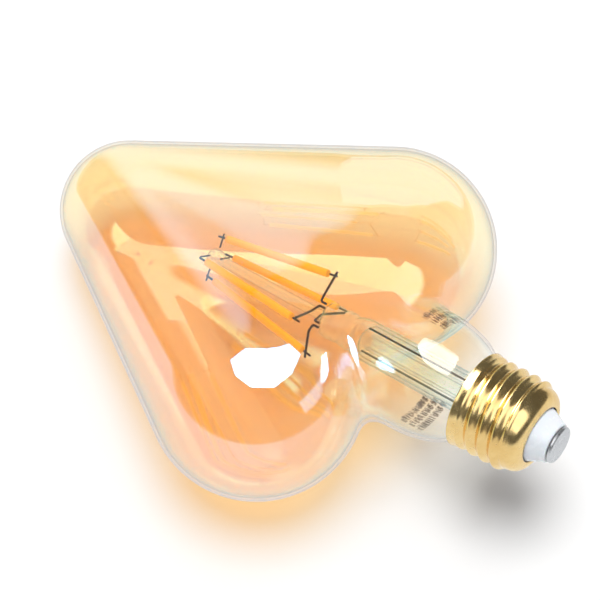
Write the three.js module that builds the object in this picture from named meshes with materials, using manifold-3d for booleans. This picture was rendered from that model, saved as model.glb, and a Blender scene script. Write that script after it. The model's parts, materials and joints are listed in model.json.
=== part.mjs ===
// Smart LED filament bulb with a heart-shaped glass envelope and an E27 screw cap. Millimetres.
//
// The bulb is built upright along its own axis: z = 0 at the centre contact, +Z towards the tip of the heart,
// and the two lobes on +X and -X. At the end it is laid down on its lobes and its tip, as it rests on a
// table.
import * as THREE from 'three';
import { mergeVertices } from 'three/addons/utils/BufferGeometryUtils.js';
import Module from 'manifold-3d';

// Clearance that stands for a glued, welded, fused or soldered joint
const GAP = 0.3;

// Heart: one ball in each lobe, one in the tip and one on the axis, drawn together as cones with round ends
// and blended over a width that narrows towards the tip
const LOBE_X = 30.4;
const LOBE_Z = 75.2;
const LOBE_RADIUS = 29.4;
const TIP_Z = 148.7;
const TIP_RADIUS = 20.9;
const MIDDLE_Z = 79;
const MIDDLE_RADIUS = 26;
const MIDDLE_TIP_RADIUS = 18.4;
const HEART_BLEND = 12;
const WALL = 1.0;

// Glass neck: radius and height from its lower rim up to the heart
const NECK_RADIUS = 17.5;
const NECK_TOP_Z = 43;
const NECK_RIM_Z = 19;
const NECK_RIM_RADIUS = 10;
const NECK_BLEND = 6;
const NECK_OUTLINE = [
  [NECK_RIM_RADIUS, NECK_RIM_Z], [10.1, 23], [12.0, 25.6], [14.1, 29], [15.4, 31.5], [16.6, 35.5],
  [17.3, 39.5], [NECK_RADIUS, NECK_TOP_Z],
];

// E27 cap
const CAP_RIM_Z = 26;
const CAP_RIM_RADIUS = 13.4;
const CAP_SKIRT_RADIUS = 13.1;
const CAP_SHEET = 0.4;
const SHOULDER_Z = 6;
const SHOULDER_RADIUS = 7.9;
const SHOULDER_HEIGHT = 3.5;
const THREAD_PITCH = 3.63;
const THREAD_CREST = 13.1;
const THREAD_ROOT = 12.05;
const THREAD_START_Z = SHOULDER_Z + SHOULDER_HEIGHT;
const THREAD_END_Z = 24.6;
const THREAD_FADE = 1.6;
const CONTACT_RADIUS = 5.1;
const CONTACT_THICKNESS = 1.0;
const CONTACT_BEVEL = 0.3;
const RIVET_RADIUS = 1.5;
const RIVET_BORE = 0.8;
const RIVET_BORE_Z = 2;
const RIVET_TOP_Z = 8.9;
const INSULATOR_FACE_RADIUS = 5.4;
const INSULATOR_WAIST = SHOULDER_RADIUS - 0.4;
const INSULATOR_BORE = RIVET_RADIUS + 0.4;
const INSULATOR_TOP_RADIUS = 9.6;
const INSULATOR_TOP_Z = 8.4;
const CEMENT_LIP_RADIUS = 12.2;
const CEMENT_LIP_Z = 24.6;

// Glass stem
const STEM_TUBE_RADIUS = 5.6;
const STEM_WALL = 0.9;
const STEM_FLARE_RADIUS = 8.6;
const STEM_FLARE_TOP_Z = 33;
const STEM_TUBE_TOP_Z = 62;
const PINCH_WIDTH = 9.6;
const PINCH_DEPTH = 4.2;
const PINCH_TOP_Z = 76.5;
const EXHAUST_RADIUS = 2.4;
const EXHAUST_BORE = 1.6;
const EXHAUST_TIP_Z = 22.5;
const ROD_RADIUS = 1.5;
const BUTTON_RADIUS = 2.5;
const BUTTON_Z = 115;

// Filament cage: four filaments lean inwards as they rise
const FIRST_ANGLE = THREE.MathUtils.degToRad(-53);
const CAGE_LOW_Z = 77.3;
const CAGE_LOW_RADIUS = 12;
const CAGE_HIGH_Z = 115.8;
const CAGE_HIGH_RADIUS = 6.3;
const FILAMENT_RADIUS = 1.1;
const PIN_RADIUS = 0.3;
const PIN_LENGTH = 1.9;
const PIN_OVERSHOOT = 1.0;
const ARM_RADIUS = 0.35;
const ANCHOR_RADIUS = 0.25;
const LEAD_RADIUS = 0.3;
const LEAD_OFFSET = 3.4;
// Each side of the pinch feeds two arms: where each leaves the pinch, and where it turns outwards
const OUTER_ARM = { exit: 3.6, knee: 5.4 };
const INNER_ARM = { exit: 2.3, knee: 3.2 };
const ARM_RISE = 2.2;
const ARM_DROP = 1.6;
const ARM_BEND = 0.6;

// Driver in the cap
const BOARD_Z = 12.8;
const BOARD_THICKNESS = 1.0;
const BOARD_RADIUS = 10.6;
const HOOK_UP_RADIUS = 0.4;

// Mesh fineness
const HEART_COLUMNS = 40;
const HEART_ROWS = 31;
const COLUMN_CROWDING = 0.15;
const NECK_ROWS = 12;
const THREAD_COLUMNS = 28;
const ROWS_PER_PITCH = 7;
const LATHE_SEGMENTS = 28;
const WIRE_SIDES = 8;

const bulb = new THREE.Group();
const wasm = await Module();
wasm.setup();

const MATERIALS = {
  amberGlass: { color: 0xe9a24c, roughness: 0.03, metalness: 0, transparent: true, opacity: 0.35 },
  clearGlass: { color: 0xeef3f2, roughness: 0.03, metalness: 0, transparent: true, opacity: 0.4 },
  phosphor: { color: 0xf6a91f, roughness: 0.55, metalness: 0 },
  nickelWire: { color: 0x6b5540, roughness: 0.35, metalness: 1 },
  brass: { color: 0xd9a94e, roughness: 0.2, metalness: 1 },
  insulator: { color: 0xdfe6ee, roughness: 0.3, metalness: 0 },
  contactMetal: { color: 0xc9cdd1, roughness: 0.35, metalness: 1 },
  cement: { color: 0xd8cdb8, roughness: 0.9, metalness: 0 },
  boardGreen: { color: 0x1f6b3f, roughness: 0.5, metalness: 0 },
  blackPlastic: { color: 0x1c1c1e, roughness: 0.45, metalness: 0 },
  capacitorSleeve: { color: 0x23304d, roughness: 0.4, metalness: 0 },
  ferrite: { color: 0x3a3a3c, roughness: 0.6, metalness: 0 },
  resistorBody: { color: 0x6fa8a0, roughness: 0.5, metalness: 0 },
  filmYellow: { color: 0xd8b23a, roughness: 0.4, metalness: 0 },
  tinPlate: { color: 0xbfc3c6, roughness: 0.3, metalness: 1 },
  wireRed: { color: 0xa8322a, roughness: 0.5, metalness: 0 },
  wireWhite: { color: 0xe6e3dc, roughness: 0.5, metalness: 0 },
};

function add(name, geometry, material) {
  const mesh = new THREE.Mesh(geometry, new THREE.MeshStandardMaterial(MATERIALS[material]));
  mesh.name = name;
  bulb.add(mesh);
}

// ---- geometry helpers ----

// Point at a distance from the axis, a turn angle and a height
function polar(radius, angle, z) {
  return new THREE.Vector3(radius * Math.cos(angle), radius * Math.sin(angle), z);
}

// Solid of revolution about Z from [radius, z] points
function lathe(outline, segments = LATHE_SEGMENTS) {
  const points = outline.map(([radius, z]) => new THREE.Vector2(radius, z));
  const first = points[0];
  if (!first.equals(points.at(-1)) && first.x > 0) {
    points.push(first.clone());
  }
  return facingOut(new THREE.LatheGeometry(points, segments).rotateX(Math.PI / 2));
}

// Rings of equal length joined in order into one closed skin. With poles the two ends close on a point each;
// without them the last ring joins the first.
function loft(rings, poles = null) {
  const columns = rings[0].length;
  const points = rings.flat();
  const triangles = [];
  const joins = poles ? rings.length - 1 : rings.length;
  for (let row = 0; row < joins; row += 1) {
    const here = row * columns;
    const next = ((row + 1) % rings.length) * columns;
    for (let column = 0; column < columns; column += 1) {
      const beside = (column + 1) % columns;
      triangles.push(here + column, next + column, next + beside);
      triangles.push(here + column, next + beside, here + beside);
    }
  }
  if (poles) {
    const start = points.push(...poles) - 2;
    const last = (rings.length - 1) * columns;
    for (let column = 0; column < columns; column += 1) {
      const beside = (column + 1) % columns;
      triangles.push(start, column, beside);
      triangles.push(start + 1, last + beside, last + column);
    }
  }
  const geometry = new THREE.BufferGeometry().setFromPoints(points);
  geometry.setIndex(triangles);
  return facingOut(geometry);
}

// Shared vertices merged, and every face turned outwards
function facingOut(source) {
  const bare = new THREE.BufferGeometry();
  bare.setAttribute('position', source.getAttribute('position'));
  bare.setIndex(source.getIndex());
  const geometry = mergeVertices(bare, 1e-4);
  const corners = geometry.getAttribute('position');
  const kept = [];
  let volume = 0;
  const index = geometry.getIndex().array;
  for (let i = 0; i < index.length; i += 3) {
    const [a, b, c] = [index[i], index[i + 1], index[i + 2]];
    if (a === b || b === c || c === a) continue;
    kept.push(a, b, c);
    const [p, q, r] = [a, b, c].map((k) => new THREE.Vector3().fromBufferAttribute(corners, k));
    volume += p.dot(q.cross(r));
  }
  if (volume < 0) kept.reverse();
  geometry.setIndex(kept);
  geometry.computeVertexNormals();
  return geometry;
}

// Round wire along straight runs with rounded corners
function wire(points, radius, bend = 1.2) {
  const path = new THREE.CurvePath();
  let start = points[0];
  for (let i = 1; i < points.length - 1; i += 1) {
    const corner = points[i];
    const toCorner = corner.clone().sub(start).setLength(bend);
    const fromCorner = points[i + 1].clone().sub(corner).setLength(bend);
    const entry = corner.clone().sub(toCorner);
    const exit = corner.clone().add(fromCorner);
    path.add(new THREE.LineCurve3(start, entry));
    path.add(new THREE.QuadraticBezierCurve3(entry, corner, exit));
    start = exit;
  }
  path.add(new THREE.LineCurve3(start, points.at(-1)));
  const section = new THREE.Shape();
  section.setFromPoints(Array.from({ length: WIRE_SIDES }, (_, i) => {
    const angle = (i * 2 * Math.PI) / WIRE_SIDES;
    return new THREE.Vector2(radius * Math.cos(angle), radius * Math.sin(angle));
  }));
  const steps = points.length > 2 ? 16 : 1;
  return facingOut(new THREE.ExtrudeGeometry(section, { steps, extrudePath: path, bevelEnabled: false }));
}

function toManifold(geometry) {
  const merged = facingOut(geometry);
  return new wasm.Manifold(new wasm.Mesh({
    numProp: 3,
    vertProperties: new Float32Array(merged.getAttribute('position').array),
    triVerts: new Uint32Array(merged.getIndex().array),
  }));
}

function fromManifold(solid) {
  const mesh = solid.getMesh();
  const geometry = new THREE.BufferGeometry();
  geometry.setAttribute('position', new THREE.BufferAttribute(mesh.vertProperties, 3));
  geometry.setIndex(new THREE.BufferAttribute(mesh.triVerts, 1));
  geometry.computeVertexNormals();
  return geometry;
}

function joined(...geometries) {
  const [first, ...rest] = geometries.map(toManifold);
  return fromManifold(rest.reduce((solid, other) => solid.add(other), first));
}

// ---- glass envelope ----

// Distance from a point to the cone with round ends that wraps two balls
function roundCone(point, from, fromRadius, to, toRadius) {
  const axis = to.clone().sub(from);
  const length = axis.length();
  const slope = (fromRadius - toRadius) / length;
  const offset = point.clone().sub(from);
  const along = offset.dot(axis) / length;
  const across = Math.sqrt(Math.max(offset.lengthSq() - along * along, 0));
  const nearest = THREE.MathUtils.clamp(along - (slope * across) / Math.sqrt(1 - slope * slope), 0, length);
  return Math.hypot(along - nearest, across) - (fromRadius - slope * nearest);
}

// Smaller of two distances, rounded over where they meet
function blend(a, b, width) {
  const overlap = Math.max(width - Math.abs(a - b), 0) / width;
  return Math.min(a, b) - (overlap * overlap * width) / 4;
}

const TIP = new THREE.Vector3(0, 0, TIP_Z);
const MIDDLE = new THREE.Vector3(0, 0, MIDDLE_Z);
const LOBES = [1, -1].map((side) => new THREE.Vector3(side * LOBE_X, 0, LOBE_Z));

// Distance to the glass's outer surface, negative inside
function glassDistance(point) {
  const [right, left] = LOBES.map((lobe) => roundCone(point, lobe, LOBE_RADIUS, TIP, TIP_RADIUS));
  const middle = roundCone(point, MIDDLE, MIDDLE_RADIUS, TIP, MIDDLE_TIP_RADIUS);
  const towardsLobes = THREE.MathUtils.clamp((TIP_Z - point.z) / (TIP_Z - LOBE_Z), 0.01, 1);
  const width = HEART_BLEND * towardsLobes;
  const heart = blend(blend(right, left, width), middle, width);
  const neck = Math.max(Math.hypot(point.x, point.y) - NECK_RADIUS, point.z - MIDDLE_Z);
  return blend(heart, neck, NECK_BLEND);
}

// Where a ray from inside the heart meets the surface that lies a depth below the outer one
const HEART_CENTRE = new THREE.Vector3(0, 0, 85);
const CLOSE_ENOUGH = 1e-4;
const MOST_STEPS = 300;
function surfacePoint(direction, depth) {
  const point = HEART_CENTRE.clone();
  for (let step = 0; step < MOST_STEPS; step += 1) {
    const left = -depth - glassDistance(point);
    if (left < CLOSE_ENOUGH) break;
    point.addScaledVector(direction, left);
  }
  return point;
}

// Turn angles round the axis, closer together towards the lobes
const columnAngles = Array.from({ length: HEART_COLUMNS }, (_, i) => {
  const turn = (i * 2 * Math.PI) / HEART_COLUMNS;
  return turn - COLUMN_CROWDING * Math.sin(2 * turn);
});

// Rings from the tip down to the neck's rim, on the surface a depth below the outer one
function glassRings(depth) {
  const lowest = Math.atan2(NECK_RADIUS, HEART_CENTRE.z - NECK_TOP_Z - 1);
  const heart = Array.from({ length: HEART_ROWS }, (_, row) => {
    const polarAngle = Math.PI - ((row + 1) / HEART_ROWS) * (Math.PI - lowest);
    return columnAngles.map((angle) => {
      const direction = polar(Math.sin(polarAngle), angle, -Math.cos(polarAngle));
      return surfacePoint(direction, depth);
    });
  });
  const outline = new THREE.SplineCurve(NECK_OUTLINE.map(([radius, z]) => new THREE.Vector2(radius, z)));
  const neck = outline.getPoints(NECK_ROWS).reverse().map((place) => (
    columnAngles.map((angle) => polar(place.x - depth, angle, place.y))
  ));
  return [...heart, ...neck];
}

function glassEnvelope() {
  const outer = glassRings(0);
  const inner = glassRings(WALL).reverse();
  const poles = [TIP.clone().setZ(TIP_Z + TIP_RADIUS), TIP.clone().setZ(TIP_Z + TIP_RADIUS - WALL)];
  return loft([...outer, ...inner], poles);
}

add('glass_envelope', glassEnvelope(), 'amberGlass');

// ---- E27 cap ----

// Outer radius of the rolled thread, fading into the shoulder below and the plain skirt above
function capRadius(z, angle) {
  const wave = 0.5 + 0.5 * Math.cos((2 * Math.PI * z) / THREAD_PITCH - angle);
  const thread = THREE.MathUtils.lerp(THREAD_ROOT, THREAD_CREST, wave);
  const fadeIn = THREE.MathUtils.smoothstep(z, THREAD_START_Z, THREAD_START_Z + THREAD_FADE);
  const fadeOut = THREE.MathUtils.smoothstep(z, THREAD_END_Z - THREAD_FADE, THREAD_END_Z);
  const lower = THREE.MathUtils.lerp(SHOULDER_RADIUS + SHOULDER_HEIGHT + CAP_SHEET, thread, fadeIn);
  return THREE.MathUtils.lerp(lower, CAP_SKIRT_RADIUS, fadeOut);
}

// One ring of the cap's sheet; inset is 0 outside and the sheet's thickness inside
function capRings(inset) {
  const angles = Array.from({ length: THREAD_COLUMNS }, (_, i) => (i * 2 * Math.PI) / THREAD_COLUMNS);
  const rings = [];
  const shoulderSteps = 5;
  const shoulderWidth = SHOULDER_HEIGHT + CAP_SHEET;
  for (let i = 0; i < shoulderSteps; i += 1) {
    const turn = (i / shoulderSteps) * (Math.PI / 2);
    const z = THREAD_START_Z - (SHOULDER_HEIGHT - inset) * Math.cos(turn);
    const radius = SHOULDER_RADIUS + (shoulderWidth - inset) * Math.sin(turn);
    rings.push(angles.map((angle) => polar(radius, angle, z)));
  }
  const threadRows = Math.round(((THREAD_END_Z - THREAD_START_Z) / THREAD_PITCH) * ROWS_PER_PITCH);
  for (let i = 0; i <= threadRows; i += 1) {
    const z = THREE.MathUtils.lerp(THREAD_START_Z, THREAD_END_Z, i / threadRows);
    rings.push(angles.map((angle) => polar(capRadius(z, angle) - inset, angle, z)));
  }
  rings.push(angles.map((angle) => polar(CAP_RIM_RADIUS - inset, angle, CAP_RIM_Z)));
  return rings;
}

add('screw_shell', loft([...capRings(0), ...capRings(CAP_SHEET).reverse()]), 'brass');

// Flat button with a hollow rivet behind it
add('center_contact', lathe([
  [0, 0], [CONTACT_RADIUS - CONTACT_BEVEL, 0], [CONTACT_RADIUS, CONTACT_THICKNESS / 2],
  [CONTACT_RADIUS, CONTACT_THICKNESS], [RIVET_RADIUS, CONTACT_THICKNESS], [RIVET_RADIUS, RIVET_TOP_Z],
  [RIVET_BORE, RIVET_TOP_Z], [RIVET_BORE, RIVET_BORE_Z], [0, RIVET_BORE_Z],
]), 'contactMetal');

const insulatorFaceZ = CONTACT_THICKNESS + GAP;
add('cap_insulator', lathe([
  [INSULATOR_BORE, insulatorFaceZ], [INSULATOR_FACE_RADIUS, insulatorFaceZ],
  [INSULATOR_WAIST, SHOULDER_Z], [INSULATOR_WAIST, SHOULDER_Z + 0.9],
  [INSULATOR_TOP_RADIUS - 0.3, SHOULDER_Z + 1.2], [INSULATOR_TOP_RADIUS, INSULATOR_TOP_Z],
  [INSULATOR_BORE, INSULATOR_TOP_Z],
]), 'insulator');

// Ring of cement between the glass neck and the brass, with a lip round the neck
const cementOuter = THREAD_ROOT - CAP_SHEET - GAP - 0.05;
const cementLow = NECK_RIM_Z + GAP;
add('capping_cement', lathe([
  [NECK_RIM_RADIUS + 0.4, cementLow], [cementOuter, cementLow], [cementOuter, CEMENT_LIP_Z - 2],
  [CEMENT_LIP_RADIUS, CEMENT_LIP_Z - 0.6], [CEMENT_LIP_RADIUS, CEMENT_LIP_Z],
  [CEMENT_LIP_RADIUS - 0.3, CEMENT_LIP_Z], [NECK_RIM_RADIUS + 0.6, CEMENT_LIP_Z - 2.2],
]), 'cement');

// ---- glass stem ----

const pinchAngle = FIRST_ANGLE;

function stem() {
  const bore = STEM_TUBE_RADIUS - STEM_WALL;
  const flareZ = NECK_RIM_Z + GAP;
  const top = STEM_TUBE_TOP_Z;
  const flare = [[STEM_TUBE_RADIUS, STEM_FLARE_TOP_Z], [6.1, 28], [7.2, 23.5]];
  const tube = lathe([
    [0, top + 5], [3.4, top + 4], [4.9, top + 2], [STEM_TUBE_RADIUS, top],
    ...flare, [STEM_FLARE_RADIUS, flareZ + 1], [STEM_FLARE_RADIUS, flareZ],
    [STEM_FLARE_RADIUS - STEM_WALL, flareZ],
    ...flare.map(([radius, z]) => [radius - STEM_WALL, z]).reverse(),
    [bore, top - 1], [3.6, top + 1.2], [0, top + 2],
  ]);
  const outline = new THREE.Shape();
  const corner = PINCH_DEPTH / 2 - 0.4;
  const [halfWidth, halfDepth] = [PINCH_WIDTH / 2, PINCH_DEPTH / 2];
  outline.moveTo(-halfWidth + corner, -halfDepth);
  outline.lineTo(halfWidth - corner, -halfDepth);
  outline.absarc(halfWidth - corner, -halfDepth + corner, corner, -Math.PI / 2, 0);
  outline.absarc(halfWidth - corner, halfDepth - corner, corner, 0, Math.PI / 2);
  outline.absarc(-halfWidth + corner, halfDepth - corner, corner, Math.PI / 2, Math.PI);
  outline.absarc(-halfWidth + corner, -halfDepth + corner, corner, Math.PI, 1.5 * Math.PI);
  const low = top + 2.4;
  const press = new THREE.ExtrudeGeometry(outline, {
    depth: PINCH_TOP_Z - low, bevelEnabled: false, curveSegments: 4,
  }).translate(0, 0, low).rotateZ(pinchAngle);
  return joined(tube, press);
}

add('stem_tube', stem(), 'clearGlass');

add('exhaust_tube', lathe([
  [0, EXHAUST_TIP_Z], [1.3, EXHAUST_TIP_Z + 0.7], [EXHAUST_RADIUS, EXHAUST_TIP_Z + 3],
  [EXHAUST_RADIUS, STEM_TUBE_TOP_Z], [EXHAUST_BORE, STEM_TUBE_TOP_Z], [EXHAUST_BORE, EXHAUST_TIP_Z + 3.4],
  [0, EXHAUST_TIP_Z + 2],
], 20), 'clearGlass');

add('support_rod', lathe([
  [0, PINCH_TOP_Z + GAP], [ROD_RADIUS, PINCH_TOP_Z + GAP], [ROD_RADIUS, BUTTON_Z - 2.6],
  [BUTTON_RADIUS - 0.3, BUTTON_Z - 1.6], [BUTTON_RADIUS, BUTTON_Z], [BUTTON_RADIUS, BUTTON_Z + 1.2],
  [BUTTON_RADIUS - 0.6, BUTTON_Z + 2.4], [0, BUTTON_Z + 3],
], 20), 'clearGlass');

// ---- filament cage ----

// Vector at right angles to a wire's radial direction, used to lay one wire beside the next
function beside(angle, distance) {
  return polar(distance, angle + Math.PI / 2, 0);
}

function filament(letter, angle) {
  const low = polar(CAGE_LOW_RADIUS, angle, CAGE_LOW_Z);
  const high = polar(CAGE_HIGH_RADIUS, angle, CAGE_HIGH_Z);
  const along = high.clone().sub(low).normalize();
  const at = (from, distance) => from.clone().addScaledVector(along, distance);
  const stripLow = at(low, PIN_LENGTH);
  const stripHigh = at(high, -PIN_LENGTH);
  const lowerPin = [at(low, -PIN_OVERSHOOT), at(stripLow, -GAP)];
  const upperPin = [at(stripHigh, GAP), at(high, PIN_OVERSHOOT)];
  add(`filament_strip_${letter}`, wire([stripLow, stripHigh], FILAMENT_RADIUS), 'phosphor');
  add(`filament_lower_pin_${letter}`, wire(lowerPin, PIN_RADIUS), 'nickelWire');
  add(`filament_upper_pin_${letter}`, wire(upperPin, PIN_RADIUS), 'nickelWire');
}

// Wire from the button on the rod to the filament's upper pin, welded on beside it
function anchorWire(letter, angle) {
  const shift = beside(angle, PIN_RADIUS + ANCHOR_RADIUS + GAP);
  const start = polar(BUTTON_RADIUS + GAP + 0.1, angle, CAGE_HIGH_Z).add(shift);
  const end = polar(CAGE_HIGH_RADIUS + PIN_OVERSHOOT, angle, CAGE_HIGH_Z).add(shift);
  add(`anchor_wire_${letter}`, wire([start, end], ANCHOR_RADIUS), 'nickelWire');
}

// Arm from one side of the pinch to the filament's lower pin
function leadArm(letter, angle, exitAngle, arm) {
  const shift = beside(angle, PIN_RADIUS + ARM_RADIUS + GAP);
  const exit = polar(arm.exit, exitAngle, PINCH_TOP_Z + GAP);
  const lift = polar(arm.exit, exitAngle, PINCH_TOP_Z + ARM_RISE);
  const knee = polar(arm.knee, angle, CAGE_LOW_Z + ARM_DROP).add(shift);
  const end = polar(CAGE_LOW_RADIUS + PIN_OVERSHOOT, angle, CAGE_LOW_Z).add(shift);
  add(`lead_arm_${letter}`, wire([exit, lift, knee, end], ARM_RADIUS, ARM_BEND), 'nickelWire');
}

const farSide = pinchAngle + Math.PI;
const supports = [
  { letter: 'a', exitAngle: pinchAngle, arm: OUTER_ARM },
  { letter: 'b', exitAngle: farSide, arm: INNER_ARM },
  { letter: 'c', exitAngle: farSide, arm: OUTER_ARM },
  { letter: 'd', exitAngle: pinchAngle, arm: INNER_ARM },
];
supports.forEach(({ letter, exitAngle, arm }, i) => {
  const angle = FIRST_ANGLE + (i * 2 * Math.PI) / supports.length;
  filament(letter, angle);
  anchorWire(letter, angle);
  leadArm(letter, angle, exitAngle, arm);
});

// Lead wires from the pinch down the stem to the driver board
const boardTop = BOARD_Z + BOARD_THICKNESS;
for (const [name, angle] of [['lead_wire_positive', pinchAngle], ['lead_wire_negative', farSide]]) {
  const ends = [STEM_TUBE_TOP_Z, boardTop + GAP].map((z) => polar(LEAD_OFFSET, angle, z));
  add(name, wire(ends, LEAD_RADIUS), 'nickelWire');
}

// ---- driver in the cap ----

// Lowest point of a part of some height on the board's upper or under side
const seats = { top: () => boardTop + GAP, under: (height) => BOARD_Z - GAP - height };

add('driver_board', lathe([
  [0, BOARD_Z], [BOARD_RADIUS, BOARD_Z], [BOARD_RADIUS, boardTop], [0, boardTop],
]), 'boardGreen');

// Boxed parts: width, depth and height, then the centre's place on the board
const BOXED = {
  film_capacitor: { size: [4, 6, 4], at: [-7.2, -0.5], side: 'top', material: 'filmYellow' },
  bridge_rectifier: { size: [4.7, 4, 2], at: [4.2, 4], side: 'under', material: 'blackPlastic' },
  driver_chip: { size: [4.9, 3.9, 1.5], at: [-4.2, 4], side: 'under', material: 'blackPlastic' },
};
for (const [name, { size, at, side, material }] of Object.entries(BOXED)) {
  const low = seats[side](size[2]);
  add(name, new THREE.BoxGeometry(...size).translate(...at, low + size[2] / 2), material);
}

// Round parts that lie along X
const LYING = {
  electrolytic_capacitor: { radius: 2.2, length: 9, y: -5.7, side: 'top', material: 'capacitorSleeve' },
  fuse_resistor: { radius: 1.2, length: 6, y: -5, side: 'under', material: 'resistorBody' },
};
for (const [name, { radius, length, y, side, material }] of Object.entries(LYING)) {
  const body = new THREE.CylinderGeometry(radius, radius, length, 20).rotateZ(Math.PI / 2);
  add(name, body.translate(0, y, seats[side](2 * radius) + radius), material);
}

// Drum core with its winding between two flanges
const drum = { x: 7.4, y: -0.6, flange: 2.3, winding: 1.9, height: 4, edge: 0.6, slope: 0.3 };
const windingEnds = [drum.edge + drum.slope, drum.height - drum.edge - drum.slope];
add('inductor', lathe([
  [0, 0], [drum.flange, 0], [drum.flange, drum.edge], [drum.winding, windingEnds[0]],
  [drum.winding, windingEnds[1]], [drum.flange, drum.height - drum.edge], [drum.flange, drum.height],
  [0, drum.height],
], 20).translate(drum.x, drum.y, seats.top()), 'ferrite');

// Wireless module: an upright board with its shield can and a bent antenna on the outer face
const module = { width: 12, thickness: 0.8, height: 4.4, y: 5.6 };
const shield = { width: 7, thickness: 1.6, height: 3.4, x: -1.5, lift: 0.6 };
const antenna = { radius: 0.3, near: 3.4, far: 5.4, low: 0.5, high: 3.6 };
const moduleLow = seats.top();
const moduleFace = module.y + module.thickness / 2 + GAP;
add('wireless_board', new THREE.BoxGeometry(module.width, module.thickness, module.height)
  .translate(0, module.y, moduleLow + module.height / 2), 'boardGreen');
const shieldCentre = [
  shield.x, moduleFace + shield.thickness / 2, moduleLow + shield.lift + shield.height / 2,
];
add('wireless_shield', new THREE.BoxGeometry(shield.width, shield.thickness, shield.height)
  .translate(...shieldCentre), 'tinPlate');
const antennaPoint = (x, z) => new THREE.Vector3(x, moduleFace + antenna.radius, moduleLow + z);
add('antenna_wire', wire([
  antennaPoint(antenna.near, antenna.low), antennaPoint(antenna.near, antenna.high),
  antennaPoint(antenna.far, antenna.high), antennaPoint(antenna.far, antenna.low),
], antenna.radius, 0.5), 'tinPlate');

// Line wire in the rivet's bore, and neutral wire out to the shell
const boardUnderside = BOARD_Z - GAP;
const lineLow = RIVET_BORE_Z + 1;
add('line_wire', wire([polar(0, 0, lineLow), polar(0, 0, boardUnderside)], HOOK_UP_RADIUS), 'wireRed');
const neutral = { angle: THREE.MathUtils.degToRad(-30), near: 8.3, far: 10.8, z: 10.2, bend: 0.8 };
add('neutral_wire', wire([
  polar(neutral.near, neutral.angle, boardUnderside), polar(neutral.near, neutral.angle, neutral.z),
  polar(neutral.far, neutral.angle, neutral.z),
], HOOK_UP_RADIUS, neutral.bend), 'wireWhite');

// ---- rest pose ----

// The lobes are fatter than the tip, so the axis leans down towards the tip by this angle
const lean = Math.asin((LOBE_RADIUS - TIP_RADIUS) / (TIP_Z - LOBE_Z));
bulb.quaternion.setFromRotationMatrix(new THREE.Matrix4().makeBasis(
  new THREE.Vector3(0, 1, 0),
  new THREE.Vector3(Math.sin(lean), 0, -Math.cos(lean)),
  new THREE.Vector3(-Math.cos(lean), 0, -Math.sin(lean)),
));

// Origin under the middle of the bulb, at the height of the table
bulb.updateMatrixWorld(true);
const box = new THREE.Box3().setFromObject(bulb, true);
const centre = box.getCenter(new THREE.Vector3());
bulb.position.set(-centre.x, -centre.y, -box.min.z);

export default bulb;
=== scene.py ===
"""Looks for the heart-shaped smart filament bulb: glass, stem, filaments, brass cap and driver.

Every piece is drawn in the bulb's own upright frame, in millimetres: z = 0 at the centre contact, +z towards
the tip of the heart, and the two lobes on +x and -x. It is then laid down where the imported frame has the
centre contact.
"""

import json
import math

import bmesh
import bpy
import numpy as np
from mathutils import Matrix, Vector


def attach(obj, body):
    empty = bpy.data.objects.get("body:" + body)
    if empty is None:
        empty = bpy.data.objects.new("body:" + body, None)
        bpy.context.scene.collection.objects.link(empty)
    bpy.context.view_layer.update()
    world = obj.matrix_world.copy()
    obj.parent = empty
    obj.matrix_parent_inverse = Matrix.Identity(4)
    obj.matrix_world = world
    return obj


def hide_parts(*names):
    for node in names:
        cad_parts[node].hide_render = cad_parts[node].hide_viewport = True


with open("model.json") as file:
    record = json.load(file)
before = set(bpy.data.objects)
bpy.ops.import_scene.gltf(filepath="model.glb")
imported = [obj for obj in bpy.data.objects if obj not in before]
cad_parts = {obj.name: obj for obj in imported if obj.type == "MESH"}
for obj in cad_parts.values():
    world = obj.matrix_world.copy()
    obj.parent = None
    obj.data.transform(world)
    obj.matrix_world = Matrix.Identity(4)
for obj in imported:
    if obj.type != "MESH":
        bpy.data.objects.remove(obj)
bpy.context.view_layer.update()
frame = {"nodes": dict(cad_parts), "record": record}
scene = bpy.context.scene
NODES = frame["nodes"]
MM = 0.001

# ---- where the bulb lies ----

# The mount on the centre contact gives the foot of the bulb's axis and the way it points out of the cap
mount = next(m for m in frame["record"]["mounts"] if m["name"] == "centre_contact_face")
foot = Vector(mount["pos_m"])
axis_up = -Vector(mount["axis"]).normalized()
lobes_way = Vector((0, 1, 0))
flank_way = axis_up.cross(lobes_way)
TO_ROW = (
    Matrix.Translation(foot)
    @ Matrix((lobes_way, flank_way, axis_up)).transposed().to_4x4()
    @ Matrix.Scale(MM, 4)
)


def to_row(points):
    """Points of the bulb's frame in millimetres, as points of the row frame in metres."""
    turn = np.array(TO_ROW.to_3x3())
    return np.asarray(points, float) @ turn.T + np.array(TO_ROW.translation)


# ---- sizes, in millimetres, as the frame has them ----

LOBE_X, LOBE_Z, LOBE_RADIUS = 30.4, 75.2, 29.4
TIP_Z, TIP_RADIUS = 148.7, 20.9
MIDDLE_Z, MIDDLE_RADIUS, MIDDLE_TIP_RADIUS = 79, 26, 18.4
HEART_BLEND, NECK_BLEND = 12, 6
WALL = 1.0
SKIN_INSET = 0.16
HEART_CENTRE_Z = 85.0
NECK_RADIUS, NECK_TOP_Z = 17.5, 43
NECK_RIM_RADIUS, NECK_RIM_Z = 10, 19
NECK_OUTLINE = [
    (NECK_RIM_RADIUS, NECK_RIM_Z), (10.1, 23), (12, 25.6), (14.1, 29), (15.4, 31.5), (16.6, 35.5),
    (17.3, 39.5), (NECK_RADIUS, NECK_TOP_Z),
]
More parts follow.
